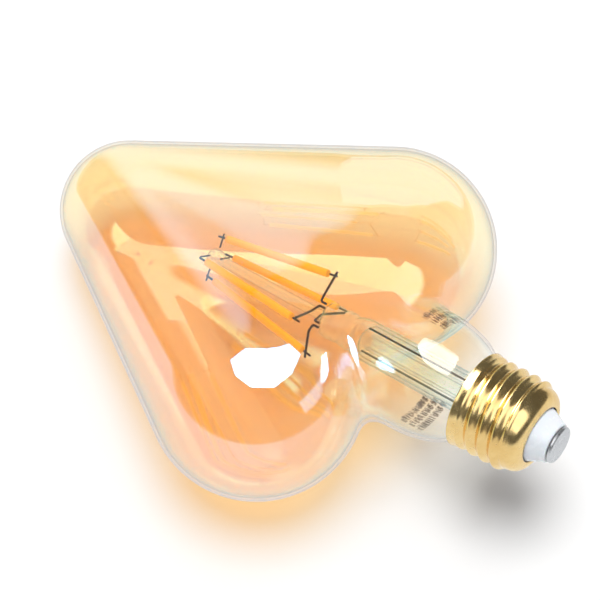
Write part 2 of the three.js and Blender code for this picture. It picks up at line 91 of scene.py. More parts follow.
# Where the amber coating fades out, and the two printed patches: three rows, and turns in degrees
COATING_LOW_Z, COATING_HIGH_Z = 36, 64
PRINT_LOW_Z, PRINT_ROW = 38.2, 2.7
PRINT_HIGH_Z = PRINT_LOW_Z + 3 * PRINT_ROW
PRINT_TURNS = [(-74, -38), (76, 116)]

CAP_RIM_Z, CAP_RIM_RADIUS, CAP_SKIRT_RADIUS, CAP_SHEET = 26, 13.4, 13.1, 0.4
SHOULDER_RADIUS, SHOULDER_HEIGHT = 7.9, 3.5
THREAD_PITCH, THREAD_CREST, THREAD_ROOT = 3.63, 13.1, 12.05
THREAD_START_Z, THREAD_END_Z, THREAD_FADE = 9.5, 24.6, 1.6
CONTACT_RADIUS, CONTACT_THICKNESS, CONTACT_STEP = 5.1, 1.0, 0.12
RIVET_RADIUS, RIVET_BORE, RIVET_TOP_Z, RIVET_BORE_Z = 1.5, 0.8, 8.9, 2
INSULATOR_FACE_RADIUS, INSULATOR_WAIST, INSULATOR_BORE = 5.4, 7.5, 1.9
INSULATOR_TOP_RADIUS, INSULATOR_TOP_Z = 9.6, 8.4
CEMENT_LIP_RADIUS, CEMENT_LIP_Z = 12.2, 24.6

GAP = 0.3
STEM_RADIUS, STEM_WALL, STEM_LOW_Z, STEM_TOP_Z = 5.6, 0.9, NECK_RIM_Z + GAP, 62
STEM_FLARE, STEM_FLARE_TOP_Z = 3.0, 33
STEM_BORE_TOP_Z, STEM_BORE_DOME = 60, 3
EXHAUST_RADIUS, EXHAUST_BORE, EXHAUST_TIP_Z, EXHAUST_TOP_Z = 2.4, 1.6, 22.5, 60.5
PINCH_WIDTH, PINCH_DEPTH, PINCH_TOP_Z = 9.6, 4.2, 76.5
# Depth of the pinch's dents, how square its section is, and the share by which it closes at its top
PINCH_DENT, PINCH_SQUARENESS, PINCH_CLOSING = 0.35, 2.2, 0.55
ROD_RADIUS, BUTTON_RADIUS, BUTTON_Z, BUTTON_TOP_Z = 1.5, 2.5, 115, 118
CAGE_LOW_Z, CAGE_LOW_RADIUS = 77.3, 12
CAGE_HIGH_Z, CAGE_HIGH_RADIUS = 115.8, 6.3
FIRST_ANGLE = math.radians(-53)
FILAMENT_RADIUS, PIN_RADIUS, PIN_LENGTH, PIN_OVERSHOOT = 1.1, 0.3, 1.9, 1.0
ARM_RADIUS, ANCHOR_RADIUS = 0.35, 0.25
LEAD_RADIUS, LEAD_OFFSET, LEAD_LOW_Z = 0.3, 3.4, 14.1
# Radius where an arm leaves the pinch, and radius where it turns outwards
OUTER_ARM, INNER_ARM = (3.6, 5.4), (2.3, 3.2)
ARM_RISE, KNEE_RISE, ARM_BEND = 2.2, 1.6, 0.6
BEVEL, FINE_BEVEL = 0.25, 0.12


# ---- mesh helpers ----

# A radius below this lies on the axis
ON_AXIS = 1e-6


def piece(name, points, faces, node, slot):
    """A smooth mesh piece that rides on the bulb, stands for one CAD node and has its slot's material."""
    mesh = bpy.data.meshes.new(name)
    mesh.from_pydata([tuple(p) for p in to_row(points)], [], faces)
    made = bmesh.new()
    made.from_mesh(mesh)
    bmesh.ops.recalc_face_normals(made, faces=made.faces)
    made.to_mesh(mesh)
    made.free()
    mesh.polygons.foreach_set("use_smooth", [True] * len(mesh.polygons))
    register(name, mesh, node, slot)


def register(name, mesh, node, slot):
    """Puts a mesh into the scene as the piece that stands for one CAD node."""
    mesh.materials.append(MATERIALS[slot])
    obj = bpy.data.objects.new(name, mesh)
    scene.collection.objects.link(obj)
    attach(obj, "root")
    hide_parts(node)


def polar(radius, angle, z):
    return np.array([radius * math.cos(angle), radius * math.sin(angle), z])


def loft(rings, poles=None):
    """Points and faces of one skin over rings of equal length. With poles its ends close on them; without, it
    closes on itself."""
    rings = np.asarray(rings, float)
    rows, columns = rings.shape[:2]
    points = [tuple(p) for p in rings.reshape(-1, 3)]
    faces = []
    for row in range(rows - 1 if poles is not None else rows):
        here, above = row * columns, (row + 1) % rows * columns
        for column in range(columns):
            beside = (column + 1) % columns
            faces.append((here + column, here + beside, above + beside, above + column))
    if poles is not None:
        for pole, base in zip(poles, (0, (rows - 1) * columns)):
            points.append(tuple(pole))
            faces += [(base + c, base + (c + 1) % columns, len(points) - 1) for c in range(columns)]
    return points, faces


def corner_curve(before, corner, after, radius, steps):
    """Points of a curve that rounds a corner, reaching at most the radius along each side."""
    back, on = before - corner, after - corner
    reach = min(radius, back.length * 0.45, on.length * 0.45)
    start, end = corner + back.normalized() * reach, corner + on.normalized() * reach
    shares = [step / steps for step in range(steps + 1)]
    return [start * (1 - t) ** 2 + corner * 2 * t * (1 - t) + end * t * t for t in shares]


def rounded(outline, radius, steps=4):
    """A closed (radius, z) outline with each corner off the axis rounded."""
    corners = [Vector(p) for p in outline]
    result = []
    for before, corner, after in zip(corners[-1:] + corners[:-1], corners, corners[1:] + corners[:1]):
        if corner.x < ON_AXIS:
            result.append(corner)
        else:
            result += corner_curve(before, corner, after, radius, steps)
    return result


def lathe(outline, segments=96):
    """Points and faces of a solid of revolution from (radius, z) points, which start and end on the axis or
    close."""
    outline = [Vector(p) for p in outline]
    poles = None
    if outline[0].x < ON_AXIS:
        poles = [(0, 0, outline[0].y), (0, 0, outline[-1].y)]
        outline = outline[1:-1]
    angles = np.linspace(0, 2 * math.pi, segments, endpoint=False)
    rings = [[polar(p.x, angle, p.y) for angle in angles] for p in outline]
    return loft(rings, poles)


def bend(points, radius, steps=6):
    """A path with its inner corners rounded."""
    points = [Vector(p) for p in points]
    path = [points[0]]
    for before, corner, after in zip(points, points[1:], points[2:]):
        path += corner_curve(before, corner, after, radius, steps)
    return path + [points[-1]]


def tube(points, radius, sides=12, corner=1.2, dome=0.6):
    """Points and faces of a round wire with slightly domed ends."""
    path = bend(points, corner)
    ways = [(b - a).normalized() for a, b in zip(path, path[1:])]
    ways = [ways[0]] + [(a + b).normalized() for a, b in zip(ways, ways[1:])] + [ways[-1]]
    side = ways[0].orthogonal().normalized()
    rings = []

    def ring(centre, way, size):
        across = way.cross(side)
        turns = [2 * math.pi * i / sides for i in range(sides)]
        return [centre + (side * math.cos(t) + across * math.sin(t)) * size for t in turns]

    quarter = [math.pi / 2 * i / 4 for i in range(1, 4)]
    for angle in quarter:
        inset = radius * dome * (1 - math.sin(angle))
        rings.append(ring(path[0] + ways[0] * inset, ways[0], radius * math.sin(angle)))
    rings.append(ring(path[0] + ways[0] * radius * dome, ways[0], radius))
    for centre, way in zip(path[1:-1], ways[1:-1]):
        side = (side - way * side.dot(way)).normalized()
        rings.append(ring(centre, way, radius))
    side = (side - ways[-1] * side.dot(ways[-1])).normalized()
    rings.append(ring(path[-1] - ways[-1] * radius * dome, ways[-1], radius))
    for angle in reversed(quarter):
        inset = radius * dome * (1 - math.sin(angle))
        rings.append(ring(path[-1] - ways[-1] * inset, ways[-1], radius * math.sin(angle)))
    return loft([[tuple(p) for p in r] for r in rings], (path[0], path[-1]))


# ---- material helpers ----


class Shader:
    """A new material with short ways to add nodes and wire them up."""

    def __init__(self, name):
        self.material = bpy.data.materials.new(name)
        self.material.use_nodes = True
        self.tree = self.material.node_tree
        self.tree.nodes.clear()
        self.output = self.add("ShaderNodeOutputMaterial")

    def add(self, kind, **settings):
        node = self.tree.nodes.new(kind)
        for key, value in settings.items():
            setattr(node, key, value)
        return node

    def wire(self, source, target):
        self.tree.links.new(source, target)

    def feed(self, value, target):
        """Sets a socket to a value, or wires another socket to it."""
        if isinstance(value, bpy.types.NodeSocket):
            self.wire(value, target)
        elif value is not None:
            target.default_value = value

    def place(self):
        """Row-frame position in metres."""
        return self.add("ShaderNodeTexCoord").outputs["Object"]

    def math(self, operation, a, b=None, clamp=False):
        node = self.add("ShaderNodeMath", operation=operation, use_clamp=clamp)
        self.feed(a, node.inputs[0])
        self.feed(b, node.inputs[1])
        return node.outputs[0]

    def dot(self, vector, other):
        node = self.add("ShaderNodeVectorMath", operation="DOT_PRODUCT")
        self.wire(vector, node.inputs[0])
        node.inputs[1].default_value = other
        return node.outputs["Value"]

    def ease(self, value, low, high, to_low=0.0, to_high=1.0):
        node = self.add("ShaderNodeMapRange", interpolation_type="SMOOTHSTEP")
        self.feed(value, node.inputs["Value"])
        node.inputs["From Min"].default_value = low
        node.inputs["From Max"].default_value = high
        node.inputs["To Min"].default_value = to_low
        node.inputs["To Max"].default_value = to_high
        return node.outputs["Result"]

    def mix(self, factor, a, b):
        node = self.add("ShaderNodeMix", data_type="RGBA")
        self.feed(factor, node.inputs["Factor"])
        self.feed(a, node.inputs["A"])
        self.feed(b, node.inputs["B"])
        return node.outputs["Result"]

    def noise(self, scale, detail=3.0, roughness=0.5, vector=None):
        node = self.add("ShaderNodeTexNoise")
        self.wire(vector or self.place(), node.inputs["Vector"])
        node.inputs["Scale"].default_value = scale
        node.inputs["Detail"].default_value = detail
        node.inputs["Roughness"].default_value = roughness
        return node.outputs["Fac"]

    def bump(self, height, distance, strength=1.0):
        node = self.add("ShaderNodeBump")
        self.wire(height, node.inputs["Height"])
        node.inputs["Distance"].default_value = distance
        node.inputs["Strength"].default_value = strength
        return node.outputs["Normal"]

    def solid(self, colour, roughness, metallic=0.0, normal=None, **more):
        """A Principled surface as the material's output."""
        node = self.add("ShaderNodeBsdfPrincipled")
        self.feed(colour, node.inputs["Base Color"])
        self.feed(roughness, node.inputs["Roughness"])
        node.inputs["Metallic"].default_value = metallic
        if normal is not None:
            self.wire(normal, node.inputs["Normal"])
        for key, value in more.items():
            node.inputs[key.replace("_", " ")].default_value = value
        self.wire(node.outputs[0], self.output.inputs["Surface"])
        return self.material


def rgb(red, green, blue):
    return (red, green, blue, 1.0)


# ---- glass materials ----

# Layer Weight's Blend at which Facing grows evenly, and the power that turns Facing into a mirror's share
EVEN_BLEND, SCHLICK_POWER = 0.5, 5.0


def glass(name, passed, mirrored, rim, rim_power):
    """Thin clear glass: straight through in the passed colour, which turns to the rim's at grazing edges,
    where the wall is crossed lengthwise, with a mirror film on top."""
    s = Shader(name)
    facing = s.add("ShaderNodeLayerWeight")
    facing.inputs["Blend"].default_value = EVEN_BLEND
    thick = s.math("POWER", facing.outputs["Facing"], rim_power)
    clear = s.add("ShaderNodeBsdfTransparent")
    s.feed(s.mix(thick, passed(s), rim), clear.inputs["Color"])
    film = s.add("ShaderNodeBsdfGlossy")
    s.feed(mirrored(s), film.inputs["Color"])
    film.inputs["Roughness"].default_value = 0.0
    body = s.add("ShaderNodeAddShader")
    s.wire(clear.outputs[0], body.inputs[0])
    s.wire(film.outputs[0], body.inputs[1])
    grazing = s.math("POWER", facing.outputs["Facing"], SCHLICK_POWER)
    edge = s.add("ShaderNodeBsdfGlossy")
    edge.inputs["Color"].default_value = rgb(0.9, 0.88, 0.87)
    edge.inputs["Roughness"].default_value = 0.0
    surface = s.add("ShaderNodeMixShader")
    s.wire(grazing, surface.inputs[0])
    s.wire(body.outputs[0], surface.inputs[1])
    s.wire(edge.outputs[0], surface.inputs[2])
    s.wire(surface.outputs[0], s.output.inputs["Surface"])
    return s.material


def height_in(s):
    """Height along the bulb's axis, in millimetres."""
    height = s.math("SUBTRACT", s.dot(s.place(), tuple(axis_up)), axis_up.dot(foot))
    return s.math("DIVIDE", height, MM)


def turn_in(s):
    """Angle round the bulb's axis, in degrees, from one lobe."""
    x = s.math("SUBTRACT", s.dot(s.place(), tuple(lobes_way)), lobes_way.dot(foot))
    y = s.math("SUBTRACT", s.dot(s.place(), tuple(flank_way)), flank_way.dot(foot))
    return s.math("DEGREES", s.math("ARCTAN2", y, x))


def within(s, value, low, high, soft):
    """1 between two limits, fading to 0 over a soft edge outside them."""
    return s.math("MULTIPLY", s.ease(value, low - soft, low), s.ease(value, high, high + soft, 1.0, 0.0))


def printed(s):
    """Two patches of small broken dashes in rows on the neck: worn, unreadable marks."""
    height, turn = height_in(s), turn_in(s)
    row = s.math("DIVIDE", s.math("SUBTRACT", height, PRINT_LOW_Z), PRINT_ROW)
    ink = within(s, s.math("FRACT", row), 0.2, 0.75, 0.1)
    spot = s.add("ShaderNodeCombineXYZ")
    s.wire(turn, spot.inputs["X"])
    s.wire(s.math("MULTIPLY", s.math("FLOOR", row), 7.3), spot.inputs["Y"])
    dashes = s.ease(s.noise(0.42, 1.0, 0.5, spot.outputs[0]), 0.46, 0.5)
    worn = s.ease(s.noise(1800, 2), 0.35, 0.5)
    sides = s.math("ADD", *(within(s, turn, low, high, 1.0) for low, high in PRINT_TURNS))
    patch = s.math("MULTIPLY", sides, within(s, height, PRINT_LOW_Z, PRINT_HIGH_Z, 0.1))
    return s.math("MULTIPLY", s.math("MULTIPLY", ink, dashes), s.math("MULTIPLY", patch, worn))


def amber_glass():
    clear, amber, ink = rgb(0.98, 0.98, 0.975), rgb(0.985, 0.86, 0.655), rgb(0.4, 0.36, 0.34)
    plain, film = rgb(0.03, 0.03, 0.03), rgb(0.03, 0.125, 0.235)

    def amount(s):
        return s.ease(height_in(s), COATING_LOW_Z, COATING_HIGH_Z)

    return glass(
        "amber_glass",
        lambda s: s.mix(printed(s), s.mix(amount(s), clear, amber), ink),
        lambda s: s.mix(amount(s), plain, film),
        rim=rgb(0.30, 0.22, 0.25),
        rim_power=11.0,
    )


def clear_glass():
    return glass(
        "clear_glass",
        lambda s: s.mix(s.noise(300), rgb(0.93, 0.94, 0.935), rgb(0.96, 0.965, 0.96)),
        lambda s: rgb(0.09, 0.09, 0.09),
        rim=rgb(0.32, 0.31, 0.31),
        rim_power=3.5,
    )


# ---- other materials ----


def phosphor():
    s = Shader("phosphor")
    speckle = s.noise(2500, 4)
    colour = s.mix(speckle, rgb(1.0, 0.50, 0.015), rgb(1.0, 0.58, 0.03))
    # The emission is a painted glow: it brightens the filaments, which are not lit
    return s.solid(colour, 0.45, normal=s.bump(s.noise(900, 3), 0.00003), Subsurface_Weight=0.15,
                   Subsurface_Scale=0.002, Emission_Color=rgb(1.0, 0.52, 0.02), Emission_Strength=0.35)


def nickel_wire():
    s = Shader("nickel_wire")
    stain = s.noise(700, 4)
    colour = s.mix(stain, rgb(0.09, 0.05, 0.03), rgb(0.22, 0.15, 0.10))
    return s.solid(colour, s.ease(s.noise(1500), 0.3, 0.7, 0.28, 0.45), metallic=0.85)


def brass():
    s = Shader("brass")
    tarnish = s.noise(120, 5, 0.6)
    colour = s.mix(s.ease(tarnish, 0.35, 0.75), rgb(0.96, 0.72, 0.33), rgb(0.86, 0.58, 0.22))
    rough = s.ease(s.noise(420, 4), 0.3, 0.75, 0.18, 0.3)
    return s.solid(colour, rough, metallic=1.0, normal=s.bump(s.noise(260, 3), 0.00004, 0.5))


def insulator():
    s = Shader("insulator")
    colour = s.mix(s.noise(90, 4), rgb(0.80, 0.84, 0.90), rgb(0.88, 0.91, 0.95))
    rough = s.ease(s.noise(500), 0.3, 0.7, 0.18, 0.3)
    return s.solid(colour, rough, normal=s.bump(s.noise(350), 0.00003, 0.4),
                   Subsurface_Weight=0.1, Subsurface_Scale=0.003)


def contact_metal():
    s = Shader("contact_metal")
    colour = s.mix(s.noise(400, 5), rgb(0.58, 0.60, 0.63), rgb(0.74, 0.76, 0.78))
    return s.solid(colour, s.ease(s.noise(800, 4), 0.3, 0.7, 0.25, 0.45), metallic=0.9,
                   normal=s.bump(s.noise(600, 4), 0.00005, 0.5))


def mottled(name, dark, light, scale, rough=(0.4, 0.6), bump=0.00004, metallic=0.0):
    """An even surface with slight mottling, for the small parts in the cap."""
    s = Shader(name)
    colour = s.mix(s.noise(scale, 4), dark, light)
    return s.solid(colour, s.ease(s.noise(scale * 2, 3), 0.3, 0.7, *rough), metallic=metallic,
                   normal=s.bump(s.noise(scale * 1.5, 4), bump, 0.6))


# Small parts in the cap: dark and light colour, scale of the mottling, and what differs from an even plastic
MOTTLED = {
    "cement": (rgb(0.60, 0.54, 0.44), rgb(0.76, 0.70, 0.60), 500, {"rough": (0.8, 0.95), "bump": 0.0001}),
    "circuit_board": (rgb(0.01, 0.10, 0.035), rgb(0.02, 0.17, 0.06), 700, {"rough": (0.3, 0.5)}),
    "film_case": (rgb(0.62, 0.42, 0.03), rgb(0.72, 0.5, 0.05), 600, {"rough": (0.25, 0.4)}),
    "black_plastic": (rgb(0.012, 0.012, 0.013), rgb(0.03, 0.03, 0.032), 1500, {}),
    "capacitor_sleeve": (rgb(0.01, 0.018, 0.05), rgb(0.02, 0.035, 0.09), 500, {"rough": (0.2, 0.35)}),
    "resistor_body": (rgb(0.10, 0.30, 0.27), rgb(0.16, 0.40, 0.36), 600, {}),
    "ferrite": (rgb(0.018, 0.018, 0.02), rgb(0.04, 0.04, 0.042), 900, {"rough": (0.5, 0.7)}),
    "tin_plate": (rgb(0.5, 0.51, 0.52), rgb(0.68, 0.69, 0.7), 500, {"rough": (0.22, 0.38), "metallic": 0.95}),
    "red_insulation": (rgb(0.33, 0.02, 0.015), rgb(0.45, 0.035, 0.02), 700, {"rough": (0.35, 0.5)}),
    "white_insulation": (rgb(0.72, 0.70, 0.65), rgb(0.84, 0.82, 0.78), 700, {"rough": (0.35, 0.5)}),
}
MAKERS = (amber_glass, clear_glass, phosphor, nickel_wire, brass, insulator, contact_metal)
MATERIALS = {make.__name__: make() for make in MAKERS}
for name, (dark, light, scale, more) in MOTTLED.items():
    MATERIALS[name] = mottled(name, dark, light, scale, **more)


# ---- glass envelope ----


def round_cone(points, start, start_radius, end, end_radius):
    """Distance to the cone with round ends that wraps two balls."""
    axis = end - start
    length = np.linalg.norm(axis)
    slope = (start_radius - end_radius) / length
    offset = points - start
    along = offset @ axis / length
    across = np.sqrt(np.maximum((offset**2).sum(-1) - along**2, 0))
    nearest = np.clip(along - slope * across / math.sqrt(1 - slope * slope), 0, length)
    return np.hypot(along - nearest, across) - (start_radius - slope * nearest)


def blended(a, b, width):
    """Smaller of two distances, rounded over where they meet."""
    overlap = np.maximum(width - np.abs(a - b), 0) / width
    return np.minimum(a, b) - overlap * overlap * width / 4


def glass_distance(points):
    """Distance to the glass's outer surface, negative inside."""
    tip = np.array([0, 0, TIP_Z])
    centres = [np.array([side * LOBE_X, 0, LOBE_Z]) for side in (1, -1)]
    lobes = [round_cone(points, centre, LOBE_RADIUS, tip, TIP_RADIUS) for centre in centres]
    middle = round_cone(points, np.array([0, 0, MIDDLE_Z]), MIDDLE_RADIUS, tip, MIDDLE_TIP_RADIUS)
    width = HEART_BLEND * np.clip((TIP_Z - points[..., 2]) / (TIP_Z - LOBE_Z), 0.01, 1)
    heart = blended(blended(*lobes, width), middle, width)
    neck = np.maximum(np.hypot(points[..., 0], points[..., 1]) - NECK_RADIUS, points[..., 2] - MIDDLE_Z)
    return blended(heart, neck, NECK_BLEND)


def spline(points, steps):
    """Even steps along a curve through the points."""
    points = np.asarray(points, float)
    result = []
    for step in range(steps + 1):
        place = step / steps * (len(points) - 1)
        i = min(int(place), len(points) - 2)
        t = place - i
        a, b = points[max(i - 1, 0)], points[i]
        c, d = points[i + 1], points[min(i + 2, len(points) - 1)]
        slope_b, slope_c = (c - a) / 2, (d - b) / 2
        result.append(
            b * (2 * t**3 - 3 * t**2 + 1) + slope_b * (t**3 - 2 * t**2 + t)
            + c * (3 * t**2 - 2 * t**3) + slope_c * (t**3 - t**2)
        )
    return result


def glass_rings(depth, columns=200, rows=150, neck_rows=44, crowding=0.15, steps=300):
    """Rings from the tip down to the neck's rim, on the surface a depth below the outer one. The columns
    crowd towards the lobes. Each point walks out from the heart's centre by the distance still left."""
    turns = np.linspace(0, 2 * math.pi, columns, endpoint=False)
    angles = turns - crowding * np.sin(2 * turns)
    lowest = math.atan2(NECK_RADIUS, HEART_CENTRE_Z - NECK_TOP_Z - 1)
    polars = math.pi - (np.arange(rows) + 1) / rows * (math.pi - lowest)
    sines = np.sin(polars)[:, None]
    rises = -np.cos(polars)[:, None] + 0 * angles
    ways = np.stack([sines * np.cos(angles), sines * np.sin(angles), rises], -1)
    points = np.array([0, 0, HEART_CENTRE_Z]) + 0 * ways
    for _ in range(steps):
        points = points + ways * (-depth - glass_distance(points))[..., None]
    outline = spline(NECK_OUTLINE, neck_rows)[::-1]
    neck = [[polar(radius - depth, angle, z) for angle in angles] for radius, z in outline]
    return np.concatenate([points, np.array(neck)])


def make_envelope():
    outer, inner = glass_rings(SKIN_INSET), glass_rings(WALL)[::-1]
    tip = TIP_Z + TIP_RADIUS
    shape = loft(np.concatenate([outer, inner]), [(0, 0, tip - SKIN_INSET), (0, 0, tip - WALL)])
    piece("glass_bulb", *shape, "glass_envelope", "amber_glass")


# ---- cap ----


def smoothstep(value, low, high):
    t = min(max((value - low) / (high - low), 0), 1)
    return t * t * (3 - 2 * t)


def cap_radius(z, angle):
    """Outer radius of the rolled thread, fading into the shoulder below and the plain skirt above."""
    wave = 0.5 + 0.5 * math.cos(2 * math.pi * z / THREAD_PITCH - angle)
    thread = THREAD_ROOT + (THREAD_CREST - THREAD_ROOT) * wave
    fade_in = smoothstep(z, THREAD_START_Z, THREAD_START_Z + THREAD_FADE)
    fade_out = smoothstep(z, THREAD_END_Z - THREAD_FADE, THREAD_END_Z)
    lower = SHOULDER_RADIUS + SHOULDER_HEIGHT + CAP_SHEET
    lower += (thread - lower) * fade_in
    return lower + (CAP_SKIRT_RADIUS - lower) * fade_out


def cap_rings(inset, columns=180, rows=150, shoulder_rows=14, rim_rows=6):
    """Rings of one side of the cap's sheet, from the shoulder to the flared rim."""
    angles = np.linspace(0, 2 * math.pi, columns, endpoint=False)
    rings = []
    for step in range(shoulder_rows):
        turn = step / shoulder_rows * math.pi / 2
        radius = SHOULDER_RADIUS + (SHOULDER_HEIGHT + CAP_SHEET - inset) * math.sin(turn)
        z = THREAD_START_Z - (SHOULDER_HEIGHT - inset) * math.cos(turn)
        rings.append([polar(radius, angle, z) for angle in angles])
    for z in np.linspace(THREAD_START_Z, THREAD_END_Z, rows):
        rings.append([polar(cap_radius(z, angle) - inset, angle, z) for angle in angles])
    for step in range(1, rim_rows + 1):
        t = step / rim_rows
        radius = CAP_SKIRT_RADIUS + (CAP_RIM_RADIUS - CAP_SKIRT_RADIUS) * t * t
        z = THREAD_END_Z + (CAP_RIM_Z - THREAD_END_Z) * t
        rings.append([polar(radius - inset, angle, z) for angle in angles])
    return rings


def make_shell():
    shell = loft(np.array(cap_rings(0) + cap_rings(CAP_SHEET)[::-1]))
    piece("brass_screw_shell", *shell, "screw_shell", "brass")


def make_contact():
    """A flat button whose middle stands slightly proud, with its hollow rivet."""
    outline = [
        (0, 0), (3.2, 0), (3.6, CONTACT_STEP), (4.8, CONTACT_STEP), (CONTACT_RADIUS, 0.45),
        (CONTACT_RADIUS, CONTACT_THICKNESS), (RIVET_RADIUS, CONTACT_THICKNESS), (RIVET_RADIUS, RIVET_TOP_Z),
        (RIVET_BORE, RIVET_TOP_Z), (RIVET_BORE, RIVET_BORE_Z), (0, RIVET_BORE_Z),
    ]
    piece("tinned_contact", *lathe(rounded(outline, 0.18)), "center_contact", "contact_metal")


def make_insulator():
    low = CONTACT_THICKNESS + GAP
    outline = [
        (INSULATOR_BORE, low), (INSULATOR_FACE_RADIUS, low), (6.1, 3.2), (INSULATOR_WAIST, 6.0),
        (INSULATOR_WAIST, 6.9), (9.3, 7.2), (INSULATOR_TOP_RADIUS, INSULATOR_TOP_Z),
        (INSULATOR_BORE, INSULATOR_TOP_Z),
    ]
    piece("cap_insulator_body", *lathe(rounded(outline, 0.5)), "cap_insulator", "insulator")


def make_cement():
    """A ring between shell and neck, with a lip that spreads into the shell's rim."""
    low, outer = NECK_RIM_Z + GAP, THREAD_ROOT - CAP_SHEET - GAP - 0.05
    outline = [
        (10.4, low), (outer, low), (outer, 22.6), (CEMENT_LIP_RADIUS, 24), (CEMENT_LIP_RADIUS, CEMENT_LIP_Z),
        (11.9, CEMENT_LIP_Z), (10.6, 22.4),
    ]
    piece("cement_ring", *lathe(rounded(outline, 0.15)), "capping_cement", "cement")


# ---- glass stem ----


def stem_flare(z):
    """How much the stem widens towards its lower end."""
    return STEM_FLARE * (1 - smoothstep(z, STEM_LOW_Z, STEM_FLARE_TOP_Z)) ** 2


def stem_section(z, columns=72):
    """One ring of the stem's outer skin: round below, pressed flat into the pinch above."""
    flat = smoothstep(z, STEM_TOP_Z - 1, STEM_TOP_Z + 5)
    close = smoothstep(z, PINCH_TOP_Z - 1.6, PINCH_TOP_Z + 0.8)
    wide = STEM_RADIUS + stem_flare(z) + (PINCH_WIDTH / 2 - STEM_RADIUS) * flat
    deep = STEM_RADIUS + stem_flare(z) + (PINCH_DEPTH / 2 - STEM_RADIUS) * flat
    power = 2 + PINCH_SQUARENESS * flat
    ring = []
    for i in range(columns):
        turn = 2 * math.pi * i / columns
        c, d = math.cos(turn), math.sin(turn)
        x = math.copysign(abs(c) ** (2 / power), c) * wide
        y = math.copysign(abs(d) ** (2 / power), d) * deep
        dent = PINCH_DENT * flat * math.sin(1.9 * z + 2.2 * math.cos(turn)) * math.cos(2.1 * turn + 0.8 * z)
        size = (1 + dent / max(math.hypot(x, y), 1)) * (1 - PINCH_CLOSING * close)
        ring.append((x * size, y * size, z))
    return ring


def stem_bore_section(z, columns=72):
    """One ring of the stem's bore, which ends in a dome below the pinch."""
    shut = math.sqrt(max(1 - max((z - STEM_BORE_TOP_Z) / STEM_BORE_DOME, 0) ** 2, 0.001))
    radius = (STEM_RADIUS - STEM_WALL + stem_flare(z)) * shut
    return [tuple(polar(radius, 2 * math.pi * i / columns, z)) for i in range(columns)]


def make_stem():
    turn = Matrix.Rotation(FIRST_ANGLE, 3, "Z")
    heights = [*np.linspace(STEM_LOW_Z, STEM_TOP_Z - 1, 60), *np.linspace(STEM_TOP_Z - 0.6, PINCH_TOP_Z, 60)]
    outer = [[tuple(turn @ Vector(p)) for p in stem_section(z)] for z in heights]
    dome = STEM_BORE_TOP_Z + STEM_BORE_DOME * np.sin(np.linspace(0.1, 1.5, 12))
    bore = [stem_bore_section(z) for z in [*np.linspace(STEM_LOW_Z, STEM_BORE_TOP_Z, 50), *dome]]
    poles = [(0, 0, PINCH_TOP_Z + 0.1), (0, 0, STEM_BORE_TOP_Z + STEM_BORE_DOME)]
    piece("glass_stem", *loft(outer[::-1] + bore, poles), "stem_tube", "clear_glass")


def make_exhaust_tube():
    """A tube inside the stem, open above and drawn to a tip below."""
    outline = [
        (0, EXHAUST_TIP_Z), (1.5, 22.9), (EXHAUST_RADIUS, 25.4), (EXHAUST_RADIUS, EXHAUST_TOP_Z),
        (EXHAUST_BORE, EXHAUST_TOP_Z), (EXHAUST_BORE, 25.9), (0.9, 24.6), (0, 24.5),
    ]
    piece("glass_exhaust_tube", *lathe(rounded(outline, 0.5), 48), "exhaust_tube", "clear_glass")


def make_rod():
    """The rod on the pinch, with the button that holds the anchors at its end."""
    low = PINCH_TOP_Z + GAP
    outline = [
        (0, low), (ROD_RADIUS, low), (ROD_RADIUS, 112.2), (2.2, 113.4), (BUTTON_RADIUS, BUTTON_Z),
        (2.45, 116.4), (1.8, 117.5), (0, BUTTON_TOP_Z),
    ]
    piece("glass_support_rod", *lathe(rounded(outline, 0.8), 48), "support_rod", "clear_glass")


# ---- filament cage ----


def make_filament(letter, angle):
    low = Vector(polar(CAGE_LOW_RADIUS, angle, CAGE_LOW_Z))
    high = Vector(polar(CAGE_HIGH_RADIUS, angle, CAGE_HIGH_Z))
    along = (high - low).normalized()
    strip_low, strip_high = low + along * PIN_LENGTH, high - along * PIN_LENGTH
    strip = tube([strip_low, strip_low.lerp(strip_high, 0.5), strip_high], FILAMENT_RADIUS, 24, dome=0.9)
    piece(f"led_filament_{letter}", *strip, f"filament_strip_{letter}", "phosphor")
    for end, place, way in (("lower", low, -along), ("upper", high, along)):
        outer = place + way * PIN_OVERSHOOT
        inner = place - way * (PIN_LENGTH - GAP)
        shape = tube([inner, outer], PIN_RADIUS)
        node = f"filament_{end}_pin_{letter}"
        piece(f"{end}_pin_{letter}", *shape, node, "nickel_wire")


def beside(angle, distance):
    """A sideways shift, square to the direction of an angle."""
    return polar(distance, angle + math.pi / 2, 0)


def make_anchor(letter, angle):
    """A wire from the button that runs beside a filament's upper pin."""
    shift = beside(angle, PIN_RADIUS + ANCHOR_RADIUS + GAP)
    start = polar(BUTTON_RADIUS + GAP + 0.1, angle, CAGE_HIGH_Z) + shift
    end = polar(CAGE_HIGH_RADIUS + PIN_OVERSHOOT, angle, CAGE_HIGH_Z) + shift
    shape = tube([start, end], ANCHOR_RADIUS)
    piece(f"anchor_{letter}", *shape, f"anchor_wire_{letter}", "nickel_wire")


def make_arm(letter, angle, exit_angle, exit_radius, knee_radius):
    """A wire from the pinch that turns outwards to run beside a filament's lower pin."""
    shift = beside(angle, PIN_RADIUS + ARM_RADIUS + GAP)
    points = [
        polar(exit_radius, exit_angle, PINCH_TOP_Z + GAP),
        polar(exit_radius, exit_angle, PINCH_TOP_Z + ARM_RISE),
        polar(knee_radius, angle, CAGE_LOW_Z + KNEE_RISE) + shift,
        polar(CAGE_LOW_RADIUS + PIN_OVERSHOOT, angle, CAGE_LOW_Z) + shift,
    ]
    shape = tube(points, ARM_RADIUS, corner=ARM_BEND)
    piece(f"arm_{letter}", *shape, f"lead_arm_{letter}", "nickel_wire")


